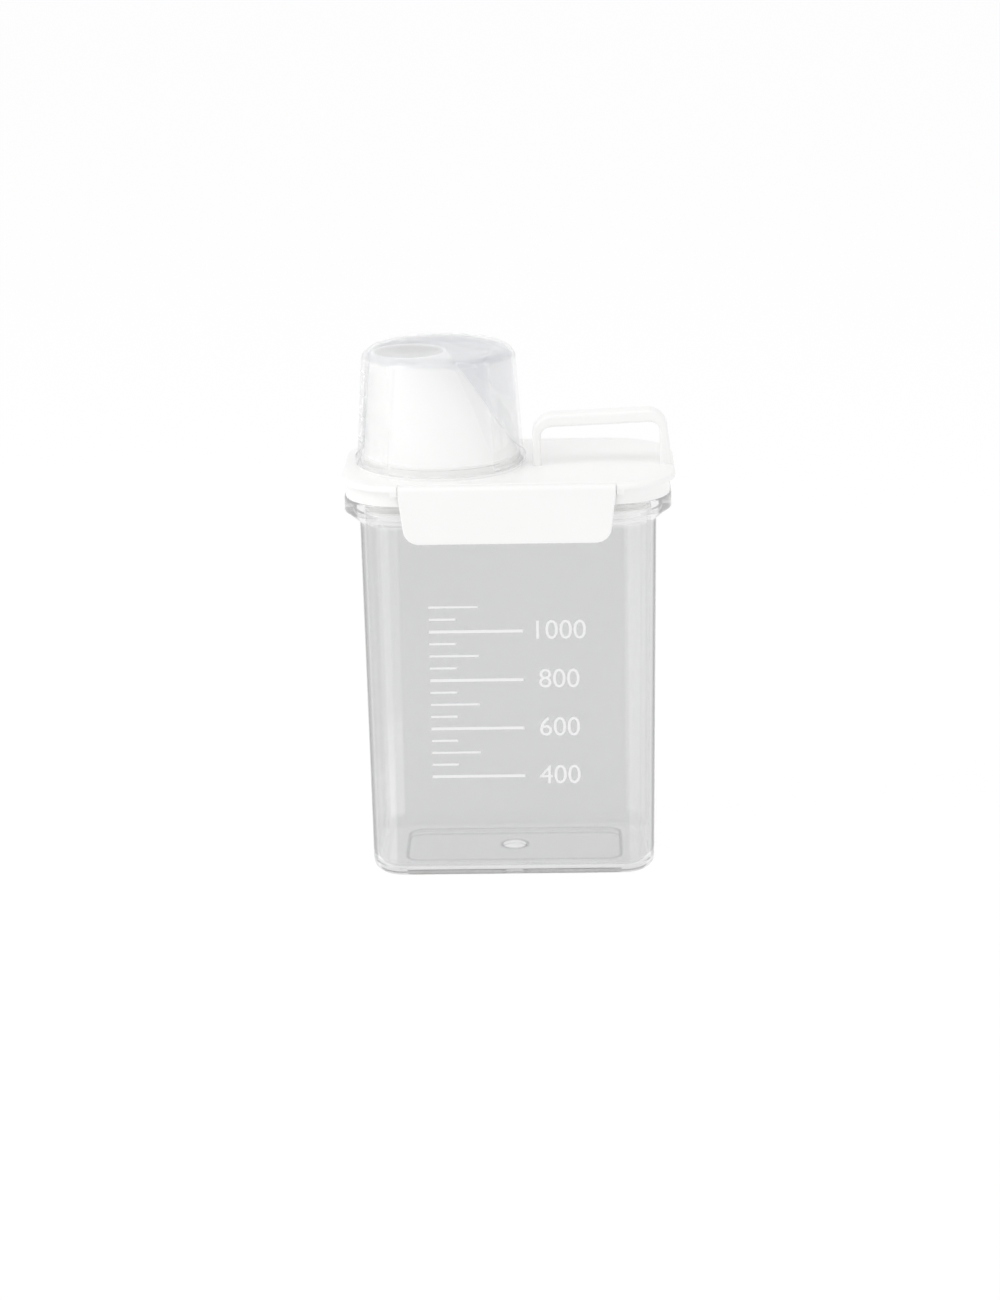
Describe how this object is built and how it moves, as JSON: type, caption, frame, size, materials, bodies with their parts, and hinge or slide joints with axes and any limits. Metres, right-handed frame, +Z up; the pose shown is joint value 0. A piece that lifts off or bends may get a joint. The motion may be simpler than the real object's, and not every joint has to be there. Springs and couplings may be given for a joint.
{
  "type": "food storage jar",
  "caption": "Upright clear food storage jar with a white flanged lid held by hinged lock flaps, a leaning pouring spout under a measuring cup, and a carry handle.",
  "frame": {"origin": "middle of the jar's underside, on the plane it stands on", "axes": "+Z up; -Y towards the front, the flap that the picture shows; +X to the right, where the handle is"},
  "size_m": [0.15, 0.096, 0.2403],
  "materials": {
    "clear_body": "clear, glossy",
    "clear_cup": "clear, glossy",
    "white_plastic": "satin",
    "silicone": "matt, slightly milky"
  },
  "bodies": {
    "jar": {"jar_body": "clear_body"},
    "lid": {"lid": "white_plastic", "lid_gasket": "silicone", "pour_spout": "white_plastic", "spout_gasket": "silicone", "cup_seal_ring": "silicone", "carry_handle": "white_plastic"},
    "front_flap": {"front_lock_flap": "white_plastic"},
    "rear_flap": {"rear_lock_flap": "white_plastic"},
    "cup": {"measuring_cup": "clear_cup"}
  },
  "joints": [
    {"name": "lid_lift", "type": "slide", "parent": "jar", "child": "lid", "axis": [0, 0, 1], "range_m": [0, 0.014]},
    {"name": "front_flap_swing", "type": "hinge", "parent": "lid", "child": "front_flap", "pos_m": [0, -0.0448, 0.1843], "axis": [-1, 0, 0], "range_deg": [0, 100]},
    {"name": "rear_flap_swing", "type": "hinge", "parent": "lid", "child": "rear_flap", "pos_m": [0, 0.0448, 0.1843], "axis": [1, 0, 0], "range_deg": [0, 100]},
    {"name": "cup_lift", "type": "slide", "parent": "lid", "child": "cup", "axis": [0, 0, 1], "range_m": [0, 0.055]}
  ],
  "couplings": [
    {"joint": "front_flap_swing", "follows": "lid_lift", "rad_per_m": 124.6},
    {"joint": "rear_flap_swing", "follows": "lid_lift", "rad_per_m": 124.6}
  ]
}
